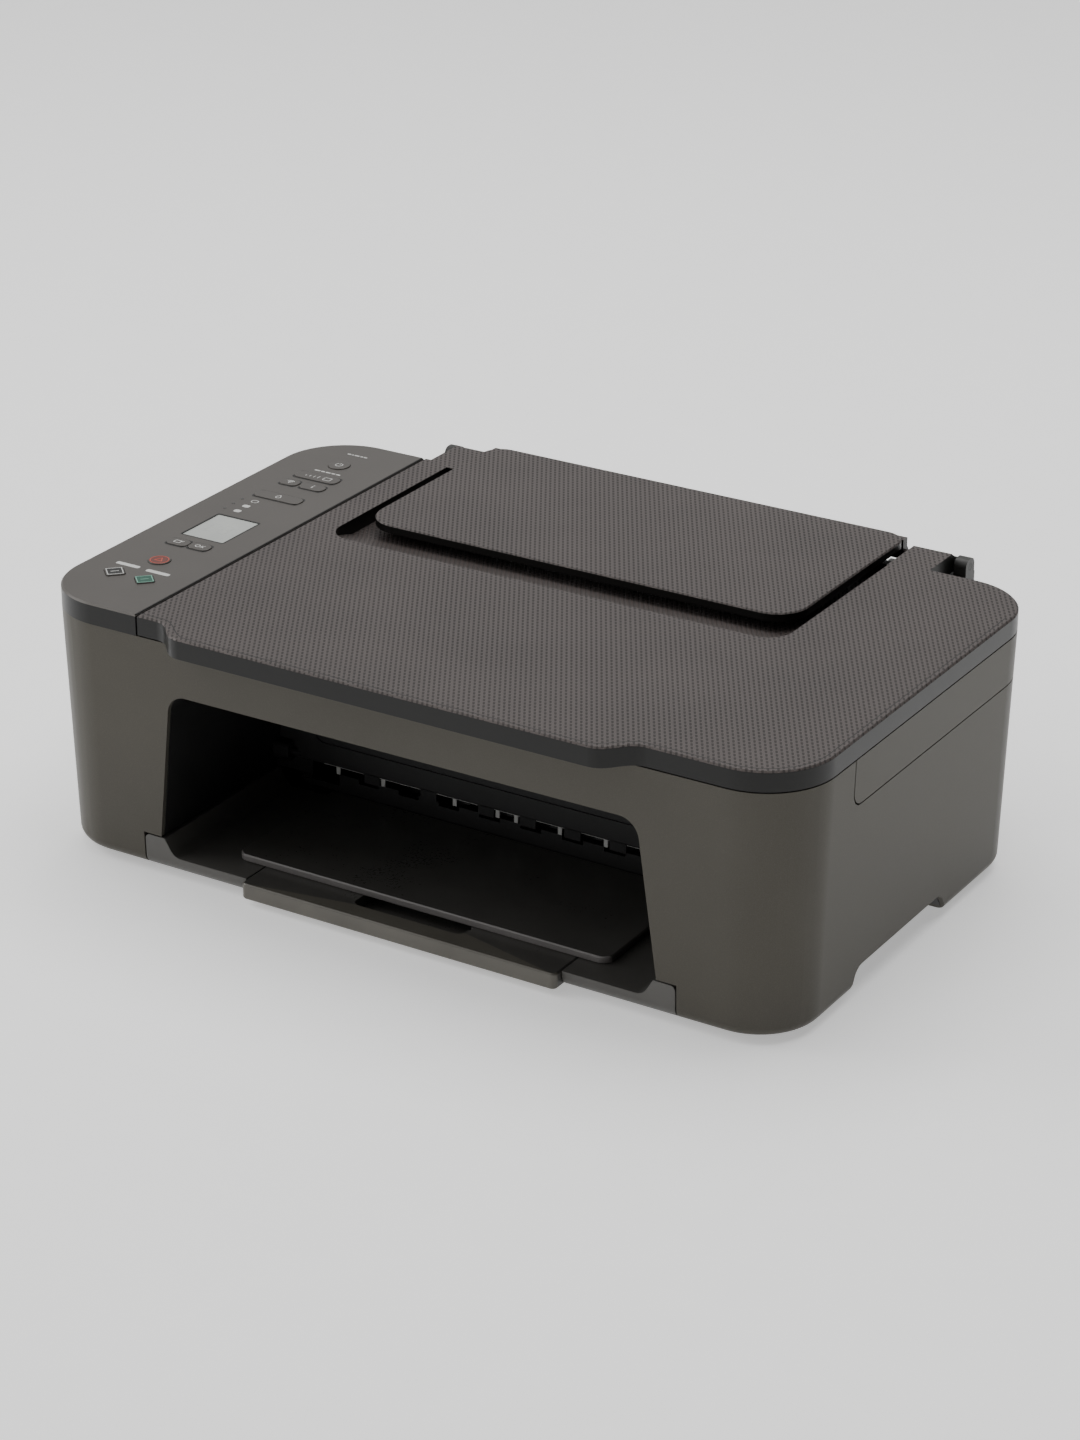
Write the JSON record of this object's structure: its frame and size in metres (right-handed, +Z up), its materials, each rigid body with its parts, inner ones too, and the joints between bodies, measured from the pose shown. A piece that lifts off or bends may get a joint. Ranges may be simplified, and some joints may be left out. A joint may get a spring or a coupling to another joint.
{
  "type": "inkjet printer",
  "caption": "Compact all-in-one inkjet printer with flat scanner lid, side control panel, front output bay with sliding tray, and rear paper feeder.",
  "frame": {"origin": "on the ground under the centre of the overall box", "axes": "+X to the machine's right as the user faces it, -Y towards the user, +Z up"},
  "size_m": [0.435, 0.316, 0.145],
  "materials": {
    "casing": "satin with a fine metallic tone",
    "lid": "fine embossed texture",
    "panel": "smooth satin",
    "dark_plastic": "moulded",
    "black_plastic": "moulded",
    "sill_plastic": "moulded",
    "tray_plastic": "moulded",
    "white_plastic": "natural acetal",
    "cartridge_plastic": "moulded",
    "rubber": "matte",
    "steel": "sheet and turned",
    "brass": "machined",
    "glass": "clear",
    "pad": "white foam-backed sheet",
    "display": "unlit segment display",
    "lamp": "translucent",
    "board": "solder mask",
    "button": "satin",
    "stop_button": "satin",
    "green_button": "satin"
  },
  "bodies": {
    "machine": {"main_casing": "casing", "base_chassis": "dark_plastic", "rubber_feet": "rubber", "bay_liner": "black_plastic", "front_sill": "sill_plastic", "print_platen": "black_plastic", "feed_motor": "steel", "exit_guide": "dark_plastic", "star_wheel_holder": "black_plastic", "carriage_rail": "steel", "carriage_belt": "rubber", "carriage_motor": "steel", "capping_station": "dark_plastic", "rear_housing": "dark_plastic", "rear_screws": "steel", "power_inlet": "black_plastic", "usb_port": "steel", "paper_chute": "black_plastic", "scanner_housing": "casing", "platen_glass": "glass", "control_panel": "panel", "display_window": "display", "status_lamps": "lamp", "panel_board": "board", "main_board": "board", "power_supply": "steel"},
    "lid": {"document_lid": "lid", "lid_pressure_pad": "pad"},
    "support": {"paper_support": "lid"},
    "guide_left": {"paper_guide_left": "tray_plastic"},
    "guide_right": {"paper_guide_right": "tray_plastic"},
    "rack_pinion": {"guide_pinion": "white_plastic"},
    "lift": {"lift_plate": "dark_plastic"},
    "pickup": {"pickup_roller": "rubber"},
    "tray": {"output_tray": "sill_plastic"},
    "extension": {"tray_extension": "tray_plastic"},
    "cover": {"cartridge_cover": "black_plastic"},
    "carriage_body": {"carriage": "black_plastic", "cartridge_black": "black_plastic", "cartridge_color": "cartridge_plastic"},
    "drive_pulley_body": {"drive_pulley": "brass"},
    "idler_pulley_body": {"idler_pulley": "white_plastic"},
    "scanner_bar": {"scan_bar": "black_plastic"},
    "feed": {"feed_roller": "steel"},
    "output": {"output_roller": "rubber"},
    "idler": {"idler_gear": "white_plastic"},
    "pinion": {"motor_pinion": "brass"},
    "pinch": {"pinch_rollers": "white_plastic"},
    "stars": {"star_wheels": "steel"},
    "button_power_cap": {"button_power": "button"},
    "button_wireless_cap": {"button_wireless": "button"},
    "button_left_cap": {"button_left": "button"},
    "button_right_cap": {"button_right": "button"},
    "button_mode_cap": {"button_mode": "button"},
    "button_help_cap": {"button_help": "button"},
    "button_copies_cap": {"button_copies": "button"},
    "button_stop_cap": {"button_stop": "stop_button"},
    "button_start_black_cap": {"button_start_black": "button"},
    "button_start_color_cap": {"button_start_color": "green_button"}
  },
  "joints": [
    {"name": "lid_hinge", "type": "hinge", "parent": "machine", "child": "lid", "pos_m": [0, 0.146, 0.136], "axis": [-1, 0, 0], "range_deg": [0, 75]},
    {"name": "support_hinge", "type": "hinge", "parent": "lid", "child": "support", "pos_m": [0, 0.146, 0.136], "axis": [-1, 0, 0], "range_deg": [0, 105]},
    {"name": "guide_left_slide", "type": "slide", "parent": "machine", "child": "guide_left", "axis": [1, 0, 0], "range_m": [0, 0.06]},
    {"name": "guide_right_slide", "type": "slide", "parent": "machine", "child": "guide_right", "axis": [1, 0, 0], "range_m": [-0.06, 0]},
    {"name": "guide_pinion_spin", "type": "hinge", "parent": "machine", "child": "rack_pinion", "pos_m": [0, 0.1524, 0.119], "axis": [0, 0, 1], "range_deg": [0, 1080]},
    {"name": "lift_plate_hinge", "type": "hinge", "parent": "machine", "child": "lift", "pos_m": [0, 0.1495, 0.1085], "axis": [-1, 0, 0], "range_deg": [0, 16]},
    {"name": "output_tray_slide", "type": "slide", "parent": "machine", "child": "tray", "axis": [0, -1, 0], "range_m": [0, 0.095]},
    {"name": "tray_extension_slide", "type": "slide", "parent": "tray", "child": "extension", "axis": [0, -1, 0], "range_m": [0, 0.08]},
    {"name": "cartridge_cover_hinge", "type": "hinge", "parent": "machine", "child": "cover", "pos_m": [0, -0.0412, 0.0335], "axis": [1, 0, 0], "range_deg": [0, 80]},
    {"name": "carriage_slide", "type": "slide", "parent": "machine", "child": "carriage_body", "axis": [1, 0, 0], "range_m": [-0.255, 0]},
    {"name": "drive_pulley_spin", "type": "hinge", "parent": "machine", "child": "drive_pulley_body", "pos_m": [-0.188, 0.04, 0.0665], "axis": [0, 1, 0], "range_deg": [-10, 2330]},
    {"name": "idler_pulley_spin", "type": "hinge", "parent": "machine", "child": "idler_pulley_body", "pos_m": [0.188, 0.04, 0.0665], "axis": [0, 1, 0], "range_deg": [-10, 2330]},
    {"name": "scan_bar_slide", "type": "slide", "parent": "machine", "child": "scanner_bar", "axis": [1, 0, 0], "range_m": [0, 0.3]},
    {"name": "feed_roller_spin", "type": "hinge", "parent": "machine", "child": "feed", "pos_m": [0, 0.0245, 0.022], "axis": [1, 0, 0], "continuous": true},
    {"name": "output_roller_spin", "type": "hinge", "parent": "machine", "child": "output", "pos_m": [0, -0.0223, 0.022], "axis": [1, 0, 0], "continuous": true},
    {"name": "idler_gear_spin", "type": "hinge", "parent": "machine", "child": "idler", "pos_m": [-0.13, 0.0011, 0.022], "axis": [1, 0, 0], "continuous": true},
    {"name": "motor_pinion_spin", "type": "hinge", "parent": "machine", "child": "pinion", "pos_m": [-0.13, 0.0434, 0.022], "axis": [1, 0, 0], "continuous": true},
    {"name": "pinch_roller_spin", "type": "hinge", "parent": "machine", "child": "pinch", "pos_m": [0, 0.0245, 0.031], "axis": [1, 0, 0], "continuous": true},
    {"name": "star_wheel_spin", "type": "hinge", "parent": "machine", "child": "stars", "pos_m": [0, -0.0223, 0.0325], "axis": [1, 0, 0], "continuous": true},
    {"name": "pickup_roller_spin", "type": "hinge", "parent": "machine", "child": "pickup", "pos_m": [0, 0.108, 0.068], "axis": [1, 0, 0], "continuous": true},
    {"name": "button_power_press", "type": "slide", "parent": "machine", "child": "button_power_cap", "axis": [0, 0, -1], "range_m": [0, 0.0008], "stiffness_N_per_m": 300},
    {"name": "button_wireless_press", "type": "slide", "parent": "machine", "child": "button_wireless_cap", "axis": [0, 0, -1], "range_m": [0, 0.0008], "stiffness_N_per_m": 300},
    {"name": "button_left_press", "type": "slide", "parent": "machine", "child": "button_left_cap", "axis": [0, 0, -1], "range_m": [0, 0.0008], "stiffness_N_per_m": 300},
    {"name": "button_right_press", "type": "slide", "parent": "machine", "child": "button_right_cap", "axis": [0, 0, -1], "range_m": [0, 0.0008], "stiffness_N_per_m": 300},
    {"name": "button_mode_press", "type": "slide", "parent": "machine", "child": "button_mode_cap", "axis": [0, 0, -1], "range_m": [0, 0.0008], "stiffness_N_per_m": 300},
    {"name": "button_help_press", "type": "slide", "parent": "machine", "child": "button_help_cap", "axis": [0, 0, -1], "range_m": [0, 0.0008], "stiffness_N_per_m": 300},
    {"name": "button_copies_press", "type": "slide", "parent": "machine", "child": "button_copies_cap", "axis": [0, 0, -1], "range_m": [0, 0.0008], "stiffness_N_per_m": 300},
    {"name": "button_stop_press", "type": "slide", "parent": "machine", "child": "button_stop_cap", "axis": [0, 0, -1], "range_m": [0, 0.0008], "stiffness_N_per_m": 300},
    {"name": "button_start_black_press", "type": "slide", "parent": "machine", "child": "button_start_black_cap", "axis": [0, 0, -1], "range_m": [0, 0.0008], "stiffness_N_per_m": 300},
    {"name": "button_start_color_press", "type": "slide", "parent": "machine", "child": "button_start_color_cap", "axis": [0, 0, -1], "range_m": [0, 0.0008], "stiffness_N_per_m": 300}
  ],
  "couplings": [
    {"joint": "guide_right_slide", "follows": "guide_left_slide", "ratio": -1},
    {"joint": "guide_pinion_spin", "follows": "guide_left_slide", "rad_per_m": 312.5},
    {"joint": "drive_pulley_spin", "follows": "carriage_slide", "rad_per_m": -158.73},
    {"joint": "idler_pulley_spin", "follows": "carriage_slide", "rad_per_m": -158.73},
    {"joint": "output_roller_spin", "follows": "feed_roller_spin", "ratio": 1},
    {"joint": "idler_gear_spin", "follows": "feed_roller_spin", "ratio": -1.1667},
    {"joint": "motor_pinion_spin", "follows": "feed_roller_spin", "ratio": -2},
    {"joint": "pinch_roller_spin", "follows": "feed_roller_spin", "ratio": -1.9},
    {"joint": "star_wheel_spin", "follows": "feed_roller_spin", "ratio": -1.2667},
    {"joint": "pickup_roller_spin", "follows": "feed_roller_spin", "ratio": -0.31667}
  ]
}
